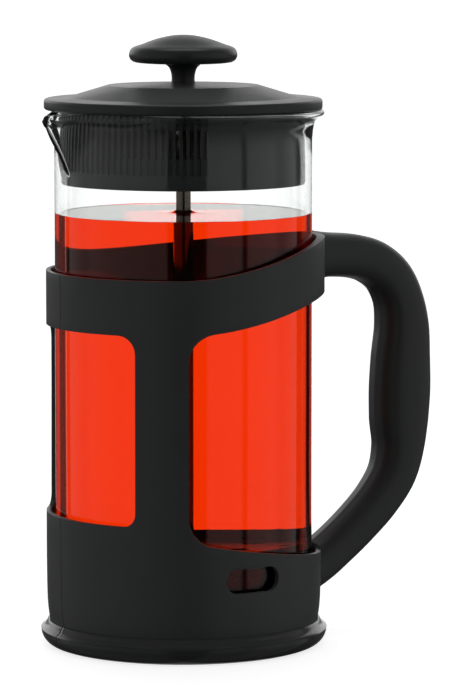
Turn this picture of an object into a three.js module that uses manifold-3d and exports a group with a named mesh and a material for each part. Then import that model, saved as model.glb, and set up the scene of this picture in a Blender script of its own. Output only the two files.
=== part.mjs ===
// French press, one litre. Millimetres, +Z up, origin on the beaker's axis at table level.
// The handle points along +X and the pouring spout along -X.
import * as THREE from "three";
import { mergeVertices } from "three/addons/utils/BufferGeometryUtils.js";
import Module from "manifold-3d";

const wasm = await Module();
wasm.setup();

// ---------------------------------------------------------------- driving dimensions
const GAP = 0.3; // running gap left between neighbouring pieces

const BASE = { lipZ: 9.6, seatZ: 8.3, floorTop: 4.6, pocketR: 48.5 };
// The base's outline from the table up: radius, height.
const BASE_BEAD = [
  [49.8, 0],
  [51.8, 0.8],
  [53.4, 2.4],
  [54.3, 4.3],
  [54.6, 6.2],
  [53.6, 6.7],
  [52.7, 7.7],
  [52.1, 9],
  [51.7, BASE.lipZ],
];

const CAN = {
  innerR: 50.4,
  cupR: 52.3,
  bandR: 52.1,
  footR: 51,
  holeR: 30,
  bottom: BASE.seatZ + GAP,
  floorTop: 11.3,
};
// The can's outer wall below the band, and its inner wall down to the floor: radius, height.
const CAN_SIDE = [
  [50.5, CAN.bottom],
  [CAN.footR, 9.1],
  [51.8, 13],
  [52.2, 22],
  [CAN.cupR, 34],
  [CAN.cupR, 60],
];
const CAN_INSIDE = [[CAN.innerR, 20], [49.4, 14.5], [47, CAN.floorTop]];
const BAND = { topLow: 143, topRise: 12.4, bottomLow: 122.5, bottomRise: 12 };
// The band thickens towards the handle: flat and fade in degrees from it.
const FLARE = { extra: 1.5, flat: 22, fade: 75, low: 100, high: 126 };
const RISE = { start: 120, span: 95 }; // degrees from the handle over which the band climbs towards it
const STRUT = { front: 138.2, back: 116 }; // degrees from the handle to each edge of a strut
const CUP = { spoutLip: 51.3, handleLip: 33.5, lipRise: 9.4, lipPower: 1.6, lipSpan: 98 };
const CORNER = { spoutTop: 7, spoutLow: 5, sideTop: 10, sideLow: 9 };
// How far the cutting blocks pass the walls.
const CUTTER = { inset: 6, outset: 6, above: 9, wallMargin: 1 };
const SLOT = { angle: 88, z: 30.9, length: 22.8, height: 9.4 };

const GLASS = { outerR: 48.8, wall: 2, bottom: CAN.floorTop + GAP, floor: 2.4, heel: 7, sides: 56 };
const RIM = { r: 52.1, z: 202.4, bead: 1.35, flareFrom: 190 };
// The wall's outer and inner faces just under the rim: radius, height.
const NECK_OUTSIDE = [[GLASS.outerR, 187], [48.9, 193], [49.9, 198.6]];
const NECK_INSIDE = [[48.6, 198.2], [47.3, 194], [GLASS.outerR - GLASS.wall, 188]];
// narrow and wide: degrees from the spout's ridge to its edge, at the foot and at the rim.
// Between nearEdge and farEdge, in degrees, the rim's flare is drawn in towards the spout.
const SPOUT = { tipR: 58.9, tipZ: 199.9, drop: 1.2, foot: 180.2, narrow: 8, wide: 23, crowding: 0.45 };
const GATHER = { share: 0.75, nearEdge: 34, farEdge: 62 };

const LID = { flangeR: 52, flangeLow: 204.1, flangeTop: 207, coneR: 41.8, deckR: 29, deckZ: 213, wall: 2 };
// How the lid's outline eases round its edges, and the steps of its underside.
const LID_EDGE = { flange: 0.6, footOut: 1.6, footUp: 0.7, deckSide: 0.5, deckDown: 0.35 };
const LID_UNDER = { recessSide: 0.8, coneIn: 1.4, coneUp: 0.3, recessIn: 1.5, socketSide: 1.7, deckIn: 1 };
const SKIRT = { outerR: 46.1, innerR: 44.5, low: 175.7, top: 204.7, slotLow: 187.5, slotTop: 198 };
const SKIRT_EDGE = { chamfer: 0.4, lip: 1, lipLow: 1.2, lipFoot: 1.6 };
const STRAINER = { halfSpan: 74, pitch: 3.29, slot: 1.3, cutDepth: 6 };

const ROD = { r: 2.25, low: 28.6, top: 222.7, chamfer: 0.4 };
const GUIDE = { bore: ROD.r + 0.25, sleeveR: 4.4, flangeR: 6.8, low: 205.2, flangeTop: 207.2, top: 212.8 };

const KNOB = { foot: LID.deckZ + GAP, underside: 220.9, top: 231.5 };
// The knob's neck and underside, then its crown: radius, height.
const KNOB_NECK = [
  [4.5, KNOB.foot],
  [4.35, 215.2],
  [4.6, 217.3],
  [5.25, 219],
  [6.25, 220],
  [7.55, 220.7],
  [9.35, KNOB.underside],
  [16, KNOB.underside],
  [18.7, 221.4],
  [20, 222.4],
];
const KNOB_CROWN = [[20.5, 224.2], [19.6, 226.3], [15, 228.2], [9.3, 230.2], [3.6, 231.4], [0, KNOB.top]];
const INSERT = { r: 2.95, low: 216.5, top: 223 };

const CROSS = { r: 43.5, low: 33.2, top: 34.2, bossR: 5, bossLow: 28 };
const CROSS_WINDOW = { inner: 13, outer: 36, halfAngle: 36 };
const MESH = { r: 46.3, low: 34.5, top: 35.3 };
const SPIRAL = { r: 42, low: 35.6, top: 36.3, rimTop: 40, rimWall: 0.7, hole: 3 };
const SPIRAL_HOLES = [[17, 6], [31, 12]]; // radius of each ring of holes, and how many it has
const COIL = { r: 44.3, wire: 1.95, z: 37.9 };
const COLLAR = { r: 5, low: 36.6, top: 39.8 };

const SCREW = { headR: 3.4, headHeight: 1.5, shankR: 1.5, recess: 0.4, tip: 66, upperZ: 146.3, lowerZ: 23.5 };
const SADDLE = { halfAngle: 12.5, thickness: 1.7, tuck: 2.5, upper: [136.5, 154.6], lower: [14.5, 33.5] };

// The handle's centre line in the XZ plane: x, z, half depth in that plane, half width along Y.
const HANDLE_LINE = [
  [50, 146.1, 10.2, 11],
  [56, 146, 9.3, 10.4],
  [64, 145.7, 8.5, 9.8],
  [74, 144.7, 8.5, 9.6],
  [82.6, 141.9, 8.8, 9.6],
  [89.8, 136.4, 8.8, 9.7],
  [94.5, 127.8, 8.9, 9.9],
  [96.4, 117, 9.8, 10.3],
  [96, 104, 11, 10.6],
  [95.7, 92, 11.5, 10.7],
  [95.3, 80, 10.9, 10.6],
  [94.9, 69, 9.3, 10.3],
  [92.2, 58.7, 8.6, 9.8],
  [85.6, 49.1, 8.2, 9.4],
  [76.6, 40.3, 8, 9.2],
  [66.6, 32.2, 7.9, 9.2],
  [58.2, 26.5, 8.1, 9.6],
  [50, 22.8, 9, 10.2],
];
// roundness is the exponent of the section's superellipse.
const HANDLE = { roundness: 2.7, stations: 28, sides: 16 };

const SEGMENTS = 48; // sides of a full turn on the large pieces

// ---------------------------------------------------------------- helpers
const rad = THREE.MathUtils.degToRad;

// Shared corners merged, empty triangles dropped, faces turned outwards.
function closed(geometry) {
  const bare = geometry.clone();
  bare.deleteAttribute("normal");
  bare.deleteAttribute("uv");
  const merged = mergeVertices(bare, 1e-3);
  const corners = merged.index.array;
  const place = merged.getAttribute("position");
  const kept = [];
  let volume = 0;
  const [a, b, c] = [new THREE.Vector3(), new THREE.Vector3(), new THREE.Vector3()];
  for (let i = 0; i < corners.length; i += 3) {
    const face = [corners[i], corners[i + 1], corners[i + 2]];
    if (new Set(face).size < 3) continue;
    kept.push(...face);
    a.fromBufferAttribute(place, face[0]);
    b.fromBufferAttribute(place, face[1]);
    c.fromBufferAttribute(place, face[2]);
    volume += a.dot(b.cross(c));
  }
  if (volume < 0) kept.reverse();
  merged.setIndex(kept);
  return merged;
}

function solid(geometry) {
  const shape = closed(geometry);
  return new wasm.Manifold(
    new wasm.Mesh({
      numProp: 3,
      vertProperties: new Float32Array(shape.getAttribute("position").array),
      triVerts: new Uint32Array(shape.index.array),
    }),
  );
}

function geometryOf(manifold) {
  const mesh = manifold.getMesh();
  const geometry = new THREE.BufferGeometry();
  geometry.setAttribute("position", new THREE.BufferAttribute(mesh.vertProperties, 3));
  geometry.setIndex(new THREE.BufferAttribute(mesh.triVerts, 1));
  return geometry;
}

// A profile of [radius, height] turned about Z. It starts and ends on the axis, or closes on itself.
function turned(profile, segments = SEGMENTS) {
  const points = profile.map(([r, z]) => new THREE.Vector2(r, z));
  const lathe = new THREE.LatheGeometry(points, segments);
  lathe.rotateX(Math.PI / 2);
  return lathe;
}

// Points of an arc in the profile plane, angles in degrees, both ends included.
function arc(r, z, radius, from, to, steps) {
  const points = [];
  for (let i = 0; i <= steps; i++) {
    const angle = rad(from + ((to - from) * i) / steps);
    points.push([r + radius * Math.cos(angle), z + radius * Math.sin(angle)]);
  }
  return points;
}

function ringProfile(inner, outer, low, high) {
  return [[inner, low], [outer, low], [outer, high], [inner, high], [inner, low]];
}

// A tube or disc along +X, from one x to another, for screws and their holes.
function alongX(profile, z, segments = 12) {
  const lathe = turned(profile, segments);
  lathe.rotateY(Math.PI / 2);
  lathe.translate(0, 0, z);
  return lathe;
}

// A stack of equal rings of points, joined by quads; the ends are closed by fans unless it loops.
function loft(rings, loops = false) {
  const size = rings[0].length;
  const points = rings.flat();
  const faces = [];
  const last = loops ? rings.length : rings.length - 1;
  for (let i = 0; i < last; i++) {
    const [lower, upper] = [i * size, ((i + 1) % rings.length) * size];
    for (let k = 0; k < size; k++) {
      const next = (k + 1) % size;
      faces.push(lower + k, lower + next, upper + next, lower + k, upper + next, upper + k);
    }
  }
  if (!loops) {
    const end = (rings.length - 1) * size;
    for (let k = 1; k < size - 1; k++) faces.push(0, k + 1, k, end, end + k, end + k + 1);
  }
  const geometry = new THREE.BufferGeometry();
  geometry.setAttribute("position", new THREE.Float32BufferAttribute(points.flat(), 3));
  geometry.setIndex(faces);
  return geometry;
}

// A block bent round the axis. Each column is { angle, low, high }, with angles in degrees from +X.
function bentBlock(columns, inner, outer, loops = false) {
  const rings = columns.map(({ angle, low, high }) => {
    const [c, s] = [Math.cos(rad(angle)), Math.sin(rad(angle))];
    return [
      [inner * c, inner * s, low],
      [outer * c, outer * s, low],
      [outer * c, outer * s, high],
      [inner * c, inner * s, high],
    ];
  });
  return loft(rings, loops);
}

// Columns of a window whose four corners are rounded. low and high give its edges at an angle.
function windowColumns(centre, halfAngle, low, high, lowCorner, highCorner) {
  const perDegree = rad(1) * CAN.cupR;
  const width = 2 * halfAngle * perDegree;
  const across = new Set([0, width]);
  for (const corner of [lowCorner, highCorner]) {
    for (let turn = 18; turn <= 90; turn += 18) {
      const inset = corner * (1 - Math.cos(rad(turn)));
      across.add(inset);
      across.add(width - inset);
    }
  }
  const start = Math.max(lowCorner, highCorner);
  const steps = Math.ceil((width - 2 * start) / (perDegree * 8));
  for (let i = 1; i < steps; i++) across.add(start + ((width - 2 * start) * i) / steps);
  const rise = (corner, edge) => corner - Math.sqrt(corner ** 2 - Math.max(0, corner - edge) ** 2);
  return [...across]
    .sort((a, b) => a - b)
    .map((x) => {
      const angle = centre - halfAngle + x / perDegree;
      const edge = Math.min(x, width - x);
      return { angle, low: low(angle) + rise(lowCorner, edge), high: high(angle) - rise(highCorner, edge) };
    });
}

// Degrees between an angle and the handle, from 0 to 180.
function fromHandle(angle) {
  return Math.abs(((((angle + 180) % 360) + 360) % 360) - 180);
}

// 0 at the strut side of the band, 1 under the handle.
function climb(angle) {
  return THREE.MathUtils.smoothstep((RISE.start - fromHandle(angle)) / RISE.span, 0, 1);
}

// How much thicker the band is at an angle.
function bandFlare(angle) {
  return FLARE.extra * (1 - THREE.MathUtils.smoothstep(fromHandle(angle), FLARE.flat, FLARE.fade));
}

const bandTop = (angle) => BAND.topLow + BAND.topRise * climb(angle);
const bandBottom = (angle) => BAND.bottomLow + BAND.bottomRise * climb(angle);
const spoutLip = () => CUP.spoutLip;
const sideLip = (angle) => CUP.handleLip + CUP.lipRise * (fromHandle(angle) / CUP.lipSpan) ** CUP.lipPower;

// ---------------------------------------------------------------- holder
function baseShape() {
  const { lipZ, seatZ, floorTop, pocketR } = BASE;
  const seatR = CAN.footR + GAP;
  return turned([
    [0, 0],
    ...BASE_BEAD,
    [seatR, lipZ],
    [seatR, seatZ],
    [pocketR, seatZ],
    [pocketR, floorTop],
    [0, floorTop],
  ]);
}

// A plain can: the windows, and the band's sloping edges, are cut from it.
function canShape() {
  const { innerR, bandR, bottom, floorTop, holeR } = CAN;
  const high = BAND.topLow + BAND.topRise + CUTTER.above / 3;
  const bandWall = [[bandR, FLARE.low], [bandR, FLARE.high], [bandR, high]];
  const can = turned([
    [holeR, bottom],
    ...CAN_SIDE,
    ...bandWall,
    [innerR, high],
    ...CAN_INSIDE,
    [holeR, floorTop],
    [holeR, bottom],
  ]);
  const place = can.getAttribute("position");
  for (let i = 0; i < place.count; i++) {
    const [x, y, z] = [place.getX(i), place.getY(i), place.getZ(i)];
    const r = Math.hypot(x, y);
    if (r > innerR + CUTTER.wallMargin && z > FLARE.low) {
      const thicker = (r + bandFlare(THREE.MathUtils.radToDeg(Math.atan2(y, x)))) / r;
      place.setXYZ(i, x * thicker, y * thicker, z);
    }
  }
  return can;
}

// The screw's countersunk shape, or the hole for it where clearance is more than nothing.
function screwShape(z, clearance) {
  const headX = CAN.innerR + SCREW.recess - clearance;
  const neckX = headX + clearance + SCREW.headHeight;
  return alongX(
    [
      [0, headX],
      [SCREW.headR + clearance, headX],
      [SCREW.shankR + clearance, neckX],
      [SCREW.shankR + clearance, SCREW.tip + clearance],
      [0, SCREW.tip + clearance],
    ],
    z,
  );
}

function frameShape() {
  const [inner, outer] = [CAN.innerR - CUTTER.inset, CAN.cupR + CUTTER.outset];
  const round = Array.from({ length: 72 }, (_, i) => i * 5);
  const highest = BAND.topLow + BAND.topRise + CUTTER.above;
  const above = round.map((angle) => ({ angle, low: bandTop(angle), high: highest }));
  const spoutHalf = 180 - STRUT.front;
  const spout = windowColumns(180, spoutHalf, spoutLip, bandBottom, CORNER.spoutLow, CORNER.spoutTop);
  const side = windowColumns(0, STRUT.back, sideLip, bandBottom, CORNER.sideLow, CORNER.sideTop);
  const slotHalf = SLOT.length / 2 / (rad(1) * CAN.cupR);
  const [slotLow, slotHigh] = [SLOT.z - SLOT.height / 2, SLOT.z + SLOT.height / 2];
  const cuts = [bentBlock(above, inner, outer, true)];
  for (const columns of [spout, side]) cuts.push(bentBlock(columns, inner, outer));
  for (const centre of [-SLOT.angle, SLOT.angle]) {
    const end = SLOT.height / 2 - 0.01;
    const columns = windowColumns(centre, slotHalf, () => slotLow, () => slotHigh, end, end);
    cuts.push(bentBlock(columns, inner, outer));
  }
  for (const z of [SCREW.upperZ, SCREW.lowerZ]) cuts.push(screwShape(z, GAP + 0.05));
  return geometryOf(cuts.reduce((frame, cut) => frame.subtract(solid(cut)), solid(canShape())));
}

function handleShape() {
  const middles = HANDLE_LINE.map(([x, z]) => new THREE.Vector3(x, 0, z));
  const line = new THREE.CatmullRomCurve3(middles, false, "centripetal");
  const depth = new THREE.CatmullRomCurve3(HANDLE_LINE.map(([, , a, b]) => new THREE.Vector3(a, b, 0)));
  const { roundness, stations, sides } = HANDLE;
  const rings = [];
  for (let i = 0; i <= stations; i++) {
    const t = i / stations;
    const centre = line.getPoint(t);
    const ahead = line.getTangent(t);
    const size = depth.getPoint(t);
    const normal = new THREE.Vector3(-ahead.z, 0, ahead.x);
    const ring = [];
    for (let k = 0; k < sides; k++) {
      const angle = (2 * Math.PI * k) / sides;
      const [c, s] = [Math.cos(angle), Math.sin(angle)];
      const across = size.x * Math.sign(c) * Math.abs(c) ** (2 / roundness);
      const along = size.y * Math.sign(s) * Math.abs(s) ** (2 / roundness);
      ring.push([centre.x + normal.x * across, along, centre.z + normal.z * across]);
    }
    rings.push(ring);
  }
  let handle = solid(loft(rings));
  const upperR = CAN.bandR + FLARE.extra + GAP;
  const lowerR = CAN.cupR + GAP;
  const round = [-1, -0.5, 0, 0.5, 1].map((share) => share * SADDLE.halfAngle);
  for (const [[low, high], inner] of [[SADDLE.upper, upperR], [SADDLE.lower, lowerR]]) {
    const columns = round.map((angle) => {
      const tuck = Math.abs(angle) === SADDLE.halfAngle ? SADDLE.tuck : 0;
      return { angle, low: low + tuck, high: high - tuck };
    });
    handle = handle.add(solid(bentBlock(columns, inner, inner + SADDLE.thickness)));
  }
  const middle = (SADDLE.upper[0] + SADDLE.lower[1]) / 2;
  const high = SADDLE.upper[1] + CUTTER.above;
  const holder = [[0, 0], [lowerR, 0], [lowerR, middle], [upperR, middle], [upperR, high], [0, high]];
  handle = handle.subtract(solid(turned(holder)));
  for (const z of [SCREW.upperZ, SCREW.lowerZ]) handle = handle.subtract(solid(screwShape(z, GAP)));
  return geometryOf(handle);
}

// ---------------------------------------------------------------- beaker
// How far the wall flares outwards at a height, up to the bead.
function flareAt(z) {
  const share = THREE.MathUtils.clamp((z - RIM.flareFrom) / (RIM.z - RIM.flareFrom), 0, 1);
  return (RIM.r + RIM.bead - GLASS.outerR) * share ** 3;
}

// Moves a point of the turned wall: the flare is drawn in beside the spout, and the spout is pulled out.
function pulled(x, y, z) {
  const turn = Math.atan2(y, x);
  const crowded = turn + SPOUT.crowding * Math.sin(turn);
  const fromSpout = Math.PI - Math.abs(crowded);
  const up = THREE.MathUtils.clamp((z - SPOUT.foot) / (SPOUT.tipZ - SPOUT.foot), 0, 1);
  const half = rad(THREE.MathUtils.lerp(SPOUT.narrow, SPOUT.wide, up));
  const near = (1 - Math.min(1, fromSpout / half)) ** 2;
  const gathered = 1 - THREE.MathUtils.smoothstep(fromSpout, rad(GATHER.nearEdge), rad(GATHER.farEdge));
  const drawnIn = flareAt(z) * GATHER.share * gathered;
  const wallR = GLASS.outerR + flareAt(z) - drawnIn;
  const ridgeR = THREE.MathUtils.lerp(GLASS.outerR, SPOUT.tipR, up);
  const pull = z > SPOUT.foot ? Math.max(0, ridgeR - wallR) * near : 0;
  const r = Math.hypot(x, y) - drawnIn + pull;
  const drop = z > SPOUT.foot ? SPOUT.drop * up ** 2 * near : 0;
  return [r * Math.cos(crowded), r * Math.sin(crowded), z - drop];
}

// The side columns crowd towards the spout, where the rim is pulled out into a V.
function beakerShape() {
  const inner = GLASS.outerR - GLASS.wall;
  const { bottom, heel } = GLASS;
  const innerHeel = heel - GLASS.wall;
  const bottomIn = bottom + GLASS.floor;
  const beaker = turned(
    [
      [0, bottom],
      ...arc(GLASS.outerR - heel, bottom + heel, heel, -90, 0, 4),
      [GLASS.outerR, SPOUT.foot],
      ...NECK_OUTSIDE,
      ...arc(RIM.r, RIM.z, RIM.bead, -60, 150, 5),
      ...NECK_INSIDE,
      [inner, SPOUT.foot],
      ...arc(inner - innerHeel, bottomIn + innerHeel, innerHeel, 0, -90, 3),
      [0, bottomIn],
    ],
    GLASS.sides,
  );
  const place = beaker.getAttribute("position");
  for (let i = 0; i < place.count; i++) {
    place.setXYZ(i, ...pulled(place.getX(i), place.getY(i), place.getZ(i)));
  }
  return beaker;
}

// ---------------------------------------------------------------- lid
function lidShape() {
  const { flangeR, flangeLow, flangeTop, coneR, deckR, deckZ, wall } = LID;
  const [edge, under] = [LID_EDGE, LID_UNDER];
  const hole = GUIDE.sleeveR + GAP;
  const socketR = GUIDE.flangeR + under.socketSide;
  const recess = SKIRT.top + GAP;
  const recessR = SKIRT.outerR + under.recessSide;
  return turned([
    [recessR, flangeLow],
    [flangeR - edge.flange, flangeLow],
    [flangeR, flangeLow + edge.flange],
    [flangeR, flangeTop - edge.flange],
    [flangeR - edge.flange, flangeTop],
    [coneR + edge.footOut, flangeTop],
    [coneR, flangeTop + edge.footUp],
    [deckR + edge.deckSide, deckZ - edge.deckDown],
    [deckR - edge.deckSide, deckZ],
    [hole, deckZ],
    [hole, GUIDE.flangeTop + GAP],
    [socketR, GUIDE.flangeTop + GAP],
    [socketR, deckZ - wall],
    [deckR - under.deckIn, deckZ - wall],
    [coneR - under.coneIn, recess + under.coneUp],
    [SKIRT.innerR - under.recessIn, recess],
    [recessR, recess],
    [recessR, flangeLow],
  ]);
}

function skirtShape() {
  const { outerR, innerR, low, top } = SKIRT;
  const { chamfer, lip, lipLow, lipFoot } = SKIRT_EDGE;
  const ring = turned(
    [
      [innerR, low + chamfer],
      [innerR + chamfer, low],
      [outerR - chamfer, low],
      [outerR, low + chamfer],
      [outerR, top],
      [innerR - lip, top],
      [innerR - lip, top - lipLow],
      [innerR, top - lipFoot],
      [innerR, low + chamfer],
    ],
    SEGMENTS,
  );
  let skirt = solid(ring);
  const slots = Math.floor(STRAINER.halfSpan / STRAINER.pitch);
  for (let i = -slots; i <= slots; i++) {
    const slot = new THREE.BoxGeometry(STRAINER.cutDepth, STRAINER.slot, SKIRT.slotTop - SKIRT.slotLow);
    slot.translate(-(outerR + innerR) / 2, 0, (SKIRT.slotTop + SKIRT.slotLow) / 2);
    slot.rotateZ(rad(i * STRAINER.pitch));
    skirt = skirt.subtract(solid(slot));
  }
  return geometryOf(skirt);
}

function guideShape() {
  const { bore, sleeveR, flangeR, low, flangeTop, top } = GUIDE;
  const profile = [[bore, low], [flangeR, low], [flangeR, flangeTop], [sleeveR, flangeTop], [sleeveR, top]];
  return turned([...profile, [bore, top], [bore, low]], 20);
}

// ---------------------------------------------------------------- plunger
function knobShape() {
  const crown = new THREE.SplineCurve(KNOB_CROWN.map(([r, z]) => new THREE.Vector2(r, z)));
  const dome = crown.getPoints(11).map((p) => [p.x, p.y]);
  dome[dome.length - 1][0] = 0;
  return turned(
    [
      [0, INSERT.top + GAP],
      [INSERT.r + GAP, INSERT.top + GAP],
      [INSERT.r + GAP, INSERT.low - GAP],
      [ROD.r + GAP, INSERT.low - GAP],
      [ROD.r + GAP, KNOB.foot],
      ...KNOB_NECK,
      ...dome,
    ],
    32,
  );
}

function insertShape() {
  return turned(ringProfile(ROD.r + GAP, INSERT.r, INSERT.low, INSERT.top), 20);
}

function rodShape() {
  const { r, low, top, chamfer } = ROD;
  return turned([[0, low], [r, low], [r, top - chamfer], [r - chamfer, top], [0, top]], 16);
}

function collarShape() {
  return turned(ringProfile(ROD.r + GAP, COLLAR.r, COLLAR.low, COLLAR.top), 20);
}

function crossPlateShape() {
  const { r, low, top, bossR, bossLow } = CROSS;
  const bore = ROD.r + GAP;
  const boss = [[bore, bossLow], [bossR, bossLow], [bossR, low]];
  let plate = solid(turned([...boss, [r, low], [r, top], [bore, top], [bore, bossLow]], 40));
  for (const centre of [45, 135, 225, 315]) {
    const columns = [-1, -0.5, 0, 0.5, 1].map((share) => ({
      angle: centre + share * CROSS_WINDOW.halfAngle,
      low: low - 1,
      high: top + 1,
    }));
    plate = plate.subtract(solid(bentBlock(columns, CROSS_WINDOW.inner, CROSS_WINDOW.outer)));
  }
  return geometryOf(plate);
}

function meshShape() {
  return turned(ringProfile(ROD.r + GAP, MESH.r, MESH.low, MESH.top), 40);
}

function spiralPlateShape() {
  const { r, low, top, rimTop, rimWall, hole } = SPIRAL;
  const bore = ROD.r + GAP;
  const rim = [[r, low], [r, rimTop], [r - rimWall, rimTop], [r - rimWall, top]];
  let plate = solid(turned([[bore, low], ...rim, [bore, top], [bore, low]], 40));
  for (const [radius, count] of SPIRAL_HOLES) {
    for (let i = 0; i < count; i++) {
      const cut = new THREE.CylinderGeometry(hole, hole, 3, 8);
      cut.rotateX(Math.PI / 2);
      cut.translate(radius, 0, (low + top) / 2);
      cut.rotateZ((2 * Math.PI * i) / count);
      plate = plate.subtract(solid(cut));
    }
  }
  return geometryOf(plate);
}

function coilShape() {
  const coil = new THREE.TorusGeometry(COIL.r, COIL.wire, 8, 36);
  coil.translate(0, 0, COIL.z);
  return coil;
}

// ---------------------------------------------------------------- finishes
function finish(colour, roughness, metalness = 0, opacity = 1) {
  const transparent = opacity < 1;
  return new THREE.MeshStandardMaterial({ color: colour, roughness, metalness, opacity, transparent });
}

const satinBlack = finish(0x222424, 0.45);
const glossBlack = finish(0x1c1d1e, 0.2);
const smoke = finish(0x2a2b2d, 0.5);
const clearGlass = finish(0xe8efee, 0.03, 0, 0.3);
const stainless = finish(0x9a9690, 0.25, 1);
const brass = finish(0xb08d57, 0.35, 1);
const zincScrew = finish(0xa8abad, 0.35, 1);

// ---------------------------------------------------------------- assembly
function piece(name, geometry, material) {
  const mesh = new THREE.Mesh(closed(geometry), material);
  mesh.name = name;
  return mesh;
}

function group(...members) {
  const made = new THREE.Group();
  made.add(...members);
  return made;
}

const holder = group(
  piece("frame", frameShape(), satinBlack),
  piece("base", baseShape(), glossBlack),
  piece("handle", handleShape(), satinBlack),
  piece("handle_screw_upper", screwShape(SCREW.upperZ, 0), zincScrew),
  piece("handle_screw_lower", screwShape(SCREW.lowerZ, 0), zincScrew),
);

const beaker = group(piece("glass_beaker", beakerShape(), clearGlass));

const lid = group(
  piece("lid_cap", lidShape(), satinBlack),
  piece("lid_skirt", skirtShape(), smoke),
  piece("rod_guide", guideShape(), smoke),
);

const plunger = group(
  piece("knob", knobShape(), satinBlack),
  piece("knob_insert", insertShape(), brass),
  piece("plunger_rod", rodShape(), stainless),
  piece("rod_collar", collarShape(), stainless),
  piece("spiral_plate", spiralPlateShape(), stainless),
  piece("filter_coil", coilShape(), stainless),
  piece("filter_mesh", meshShape(), stainless),
  piece("cross_plate", crossPlateShape(), stainless),
);

const press = group(holder, beaker, lid, plunger);

export default press;
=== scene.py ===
# %% [markdown]
# # A one litre french press
#
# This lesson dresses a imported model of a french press: a glass beaker in a black plastic holder, with a lid,
# a plunger on a steel rod and a drink in it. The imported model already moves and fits. Blender adds the fine
# surfaces, the finishes, the drink and the light.

import math

import bmesh
import bpy
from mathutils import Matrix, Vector, noise


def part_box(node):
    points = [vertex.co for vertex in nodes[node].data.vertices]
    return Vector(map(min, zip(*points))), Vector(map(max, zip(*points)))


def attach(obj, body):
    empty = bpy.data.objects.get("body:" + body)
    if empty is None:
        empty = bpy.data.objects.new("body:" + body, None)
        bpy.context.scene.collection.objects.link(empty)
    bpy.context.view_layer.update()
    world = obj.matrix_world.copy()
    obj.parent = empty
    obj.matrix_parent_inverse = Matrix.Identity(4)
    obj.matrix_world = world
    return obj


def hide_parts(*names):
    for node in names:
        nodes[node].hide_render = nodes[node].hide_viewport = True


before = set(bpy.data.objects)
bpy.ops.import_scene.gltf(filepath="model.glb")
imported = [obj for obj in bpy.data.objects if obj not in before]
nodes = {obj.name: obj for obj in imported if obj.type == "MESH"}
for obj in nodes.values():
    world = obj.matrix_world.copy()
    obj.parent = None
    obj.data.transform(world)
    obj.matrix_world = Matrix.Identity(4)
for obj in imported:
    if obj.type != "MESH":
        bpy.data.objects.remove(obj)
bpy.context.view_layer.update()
scene = bpy.context.scene

# %% [markdown]
# ## Units and colours
#
# The maker's drawings are in millimetres, so sizes are written that way and `MM` turns them to metres.
# Colours are written as hex values, the way a colour chart gives them. Blender's shaders add light up, so
# they want linear values: `linear` undoes the curve that a screen puts on a colour.

# %% Millimetres, linear colours, a node helper
MM = 0.001


def linear(colour):
    """The linear RGBA of a hex colour such as "2A2C2D"."""
    shares = [int(colour[i:i + 2], 16) / 255 for i in (0, 2, 4)]
    return [s / 12.92 if s <= 0.04045 else ((s + 0.055) / 1.055) ** 2.4 for s in shares] + [1]


def add(tree, kind, inputs=None, **settings):
    """Adds a node: settings are its own, and inputs are values, or other nodes' outputs to link."""
    node = tree.nodes.new("ShaderNode" + kind)
    for name, value in settings.items():
        setattr(node, name, value)
    for name, value in (inputs or {}).items():
        if isinstance(value, bpy.types.NodeSocket):
            tree.links.new(value, node.inputs[name])
        else:
            node.inputs[name].default_value = value
    return node


print("black plastic is", [round(c, 4) for c in linear("2A2C2D")[:3]], "in linear light")

# %% [markdown]
# ## Camera
#
# A long lens held far away keeps the beaker's sides nearly parallel. The camera looks at the near side, with
# the handle on the right, turned by `VIEW_TURN` towards the spout and raised by `VIEW_RISE`. Its aim is set
# so that the whole press, with its handle, fills an upright frame.

# %% Camera
VIEW_TURN = math.radians(-28.8)
VIEW_RISE = math.radians(6.4)
VIEW_DISTANCE = 1.595
AIM_SIDE, AIM_HEIGHT = 0.0201, 0.112
LENS, SENSOR_WIDTH = 216, 36  # mm

to_right = Vector((math.cos(VIEW_TURN), math.sin(VIEW_TURN), 0))
to_back = Vector((-math.sin(VIEW_TURN), math.cos(VIEW_TURN), 0))
up = Vector((0, 0, 1))
look = to_back * math.cos(VIEW_RISE) - up * math.sin(VIEW_RISE)

camera = bpy.data.objects.new("camera", bpy.data.cameras.new("camera"))
scene.collection.objects.link(camera)
camera.location = to_right * AIM_SIDE + up * AIM_HEIGHT - look * VIEW_DISTANCE
camera.rotation_euler = look.to_track_quat("-Z", "Y").to_euler()
camera.data.lens = LENS
camera.data.sensor_width = SENSOR_WIDTH
camera.data.clip_end = 20
scene.camera = camera
scene.view_settings.view_transform = "Standard"
print("camera at", [round(c, 3) for c in camera.location])

# %% [markdown]
# ## Studio
#
# Black plastic and clear glass show little colour of their own: what the eye reads is what they reflect. So
# the light is a room seen in reflections. A white screen stands behind the press. Wide soft boxes stand round
# its front and sides, with a dark gap between them where the camera stands, and dark slits where a side box
# ends and the screen begins: these draw the dark lines that shape the glass. The room is painted on the
# world, as a ramp over the angle round the press, and it fades to an even ceiling overhead and to a dim floor
# below. Light that has only passed through glass sees a second ramp, white all round but for the dark slits,
# and the slits fade out some ten degrees below level. What the camera sees directly is plain white.

# %% World
SCREEN = 1.25  # how bright the white screen is; the ramps below are shares of it
# (degrees round the press from the camera's side, share of the screen), the camera's right being positive
ROOM = [(-180, 1), (-130, 1), (-128, 0.02), (-123, 0.02), (-121, 0.28), (-98, 0.2), (-88, 0.28), (-75, 0.24),
        (-14.5, 0.18), (-12.5, 0.015), (20.5, 0.015), (22.5, 0.23), (54, 0.26), (55.5, 0.04), (59, 0.04),
        (60.5, 0.28), (88, 0.32), (98, 0.2), (121, 0.28), (123, 0.02), (133, 0.02), (135, 1), (180, 1)]
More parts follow.
